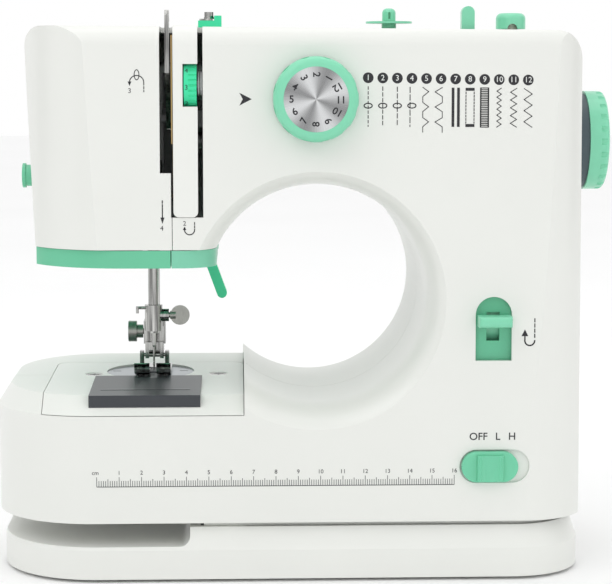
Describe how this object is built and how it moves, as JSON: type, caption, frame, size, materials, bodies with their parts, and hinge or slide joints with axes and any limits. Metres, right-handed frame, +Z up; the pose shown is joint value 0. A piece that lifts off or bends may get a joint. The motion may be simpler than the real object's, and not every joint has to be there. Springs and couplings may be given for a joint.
{
  "type": "sewing machine",
  "caption": "Small free-arm sewing machine with handwheel, stitch dial, needle and presser bars, reverse lever, drop-in bobbin and tabletop base.",
  "frame": {"origin": "table level under the rubber feet, central in width and depth", "axes": "+X from the needle end to the handwheel, +Y away from the operator, +Z up"},
  "size_m": [0.2828, 0.1316, 0.2569],
  "materials": {
    "shell_white": "satin",
    "mint": "satin",
    "green_bright": "satin",
    "slate": "matte",
    "black_plastic": "matte",
    "nylon": "matte",
    "smoked": "polished",
    "lens": "frosted",
    "chrome": "polished",
    "steel": "brushed",
    "dial_metal": "turned",
    "casting": "as cast",
    "rubber": "matte",
    "board": "matte"
  },
  "bodies": {
    "casing": {"inner_frame": "casting", "front_shell": "shell_white", "rear_shell": "shell_white", "head_face_cover": "shell_white", "bed_cover_plate": "shell_white", "strip_cover": "shell_white", "base_plate": "shell_white", "head_band_left": "mint", "head_band_right": "mint", "rubber_feet": "rubber", "needle_plate": "steel", "bed_screws": "chrome", "lower_frame": "casting", "timing_belt": "rubber", "motor": "steel", "bobbin_case": "black_plastic", "tension_post": "steel", "thread_guide_block": "green_bright", "thread_guide_plate": "chrome", "spool_base": "mint", "reverse_bezel": "mint", "speed_switch": "black_plastic", "circuit_board": "board", "sockets": "black_plastic", "side_button": "mint", "sewing_lamp": "lens"},
    "main_shaft": {"main_shaft": "steel", "handwheel_hub": "slate", "handwheel_rim": "mint"},
    "needle_link": {"needle_link": "steel"},
    "lower_shaft": {"lower_shaft": "steel", "drive_gear": "nylon"},
    "motor_pinion": {"motor_pinion": "steel"},
    "rotary_hook": {"rotary_hook": "black_plastic"},
    "bobbin": {"bobbin": "chrome"},
    "feed_bar": {"feed_bar": "steel"},
    "feed_dog": {"feed_dog": "steel"},
    "needle_cradle": {"needle_bar_cradle": "steel"},
    "needle_bar": {"needle_bar": "chrome", "needle_clamp": "chrome", "needle": "chrome"},
    "clamp_screw": {"clamp_screw": "chrome"},
    "presser_bar": {"presser_bar": "chrome", "presser_spring": "steel", "foot_holder": "chrome"},
    "presser_foot": {"presser_foot": "chrome"},
    "foot_screw": {"foot_screw": "chrome"},
    "lifter_lever": {"lifter_lever": "green_bright"},
    "take_up_lever": {"take_up_lever": "chrome"},
    "tension_wheel": {"tension_wheel": "green_bright"},
    "stitch_dial": {"stitch_dial": "mint", "dial_face": "dial_metal"},
    "reverse_lever": {"reverse_lever": "mint"},
    "speed_knob": {"speed_knob": "mint"},
    "spool_pin": {"spool_pin": "mint"},
    "winder_lever": {"winder_lever": "mint"},
    "winder": {"winder_spindle": "steel", "winder_knob": "mint"},
    "bobbin_cover": {"bobbin_cover": "smoked"},
    "battery_door": {"battery_door": "shell_white"}
  },
  "joints": [
    {"name": "handwheel_spin", "type": "hinge", "parent": "casing", "child": "main_shaft", "pos_m": [0, 0.004, 0.1955], "axis": [1, 0, 0], "continuous": true},
    {"name": "link_swing", "type": "hinge", "parent": "main_shaft", "child": "needle_link", "pos_m": [-0.0587, -0.0075, 0.1955], "axis": [1, 0, 0], "continuous": true},
    {"name": "lower_shaft_spin", "type": "hinge", "parent": "casing", "child": "lower_shaft", "pos_m": [0, -0.016, 0.05], "axis": [1, 0, 0], "continuous": true},
    {"name": "motor_spin", "type": "hinge", "parent": "casing", "child": "motor_pinion", "pos_m": [0.077, 0.006, 0.0706], "axis": [1, 0, 0], "continuous": true},
    {"name": "hook_spin", "type": "hinge", "parent": "casing", "child": "rotary_hook", "pos_m": [-0.0705, -0.016, 0.05], "axis": [0, 0, 1], "continuous": true},
    {"name": "bobbin_spin", "type": "hinge", "parent": "casing", "child": "bobbin", "pos_m": [-0.0705, -0.016, 0.07], "axis": [0, 0, 1], "continuous": true},
    {"name": "feed_advance", "type": "slide", "parent": "casing", "child": "feed_bar", "axis": [0, 1, 0], "range_m": [-0.0015, 0.0015]},
    {"name": "feed_lift", "type": "slide", "parent": "feed_bar", "child": "feed_dog", "axis": [0, 0, 1], "range_m": [-0.0015, 0]},
    {"name": "zigzag_swing", "type": "hinge", "parent": "casing", "child": "needle_cradle", "pos_m": [-0.0705, 0.015, 0.226], "axis": [0, 1, 0], "range_deg": [-1, 1]},
    {"name": "needle_bar_stroke", "type": "slide", "parent": "needle_cradle", "child": "needle_bar", "axis": [0, 0, 1], "range_m": [-0.013, 0.013]},
    {"name": "clamp_screw_turn", "type": "hinge", "parent": "needle_bar", "child": "clamp_screw", "pos_m": [-0.064, 0.01, 0.1124], "axis": [1, 0, 0], "range_deg": [-90, 270]},
    {"name": "presser_lift", "type": "slide", "parent": "casing", "child": "presser_bar", "axis": [0, 0, 1], "range_m": [0, 0.0055], "stiffness_N_per_m": 300, "springref_m": -0.01, "deforming": ["presser_spring"]},
    {"name": "foot_tilt", "type": "hinge", "parent": "presser_bar", "child": "presser_foot", "pos_m": [-0.0705, 0.0176, 0.0923], "axis": [1, 0, 0], "range_deg": [-3, 1]},
    {"name": "foot_screw_turn", "type": "hinge", "parent": "presser_bar", "child": "foot_screw", "pos_m": [-0.078, 0.023, 0.103], "axis": [1, 0, 0], "range_deg": [-90, 270]},
    {"name": "lifter_swing", "type": "hinge", "parent": "casing", "child": "lifter_lever", "pos_m": [-0.0475, 0.0275, 0.147], "axis": [0, -1, 0], "range_deg": [0, 60]},
    {"name": "take_up_swing", "type": "hinge", "parent": "casing", "child": "take_up_lever", "pos_m": [-0.0615, -0.018, 0.206], "axis": [1, 0, 0], "range_deg": [0, 36]},
    {"name": "tension_turn", "type": "hinge", "parent": "casing", "child": "tension_wheel", "pos_m": [-0.051, -0.0446, 0.2216], "axis": [1, 0, 0], "range_deg": [-140, 140]},
    {"name": "stitch_select", "type": "hinge", "parent": "casing", "child": "stitch_dial", "pos_m": [0.0039, -0.061, 0.2156], "axis": [0, 1, 0], "continuous": true},
    {"name": "reverse_press", "type": "hinge", "parent": "casing", "child": "reverse_lever", "pos_m": [0.0833, -0.032, 0.1176], "axis": [1, 0, 0], "range_deg": [0, 18], "stiffness_Nm_per_rad": 0.3, "springref_deg": -5.73},
    {"name": "speed_select", "type": "slide", "parent": "casing", "child": "speed_knob", "axis": [1, 0, 0], "range_m": [0, 0.005]},
    {"name": "spool_pin_raise", "type": "slide", "parent": "casing", "child": "spool_pin", "axis": [0, 0, 1], "range_m": [0, 0.022]},
    {"name": "winder_stop_swing", "type": "hinge", "parent": "casing", "child": "winder_lever", "pos_m": [0.0739, -0.026, 0.233], "axis": [0, 1, 0], "range_deg": [-6, 6]},
    {"name": "winder_spin", "type": "hinge", "parent": "casing", "child": "winder", "pos_m": [0.09485, -0.016, 0.25], "axis": [0, 0, 1], "continuous": true},
    {"name": "bobbin_cover_slide", "type": "slide", "parent": "casing", "child": "bobbin_cover", "axis": [0, -1, 0], "range_m": [0, 0.012]},
    {"name": "battery_door_drop", "type": "slide", "parent": "casing", "child": "battery_door", "axis": [0, 0, -1], "range_m": [0, 0.001]}
  ],
  "couplings": [
    {"joint": "link_swing", "follows": "handwheel_spin", "ratio": -1},
    {"joint": "lower_shaft_spin", "follows": "handwheel_spin", "ratio": 1},
    {"joint": "motor_spin", "follows": "handwheel_spin", "ratio": -5},
    {"joint": "hook_spin", "follows": "handwheel_spin", "ratio": 1},
    {"joint": "lifter_swing", "follows": "presser_lift", "rad_per_m": 190.3}
  ]
}
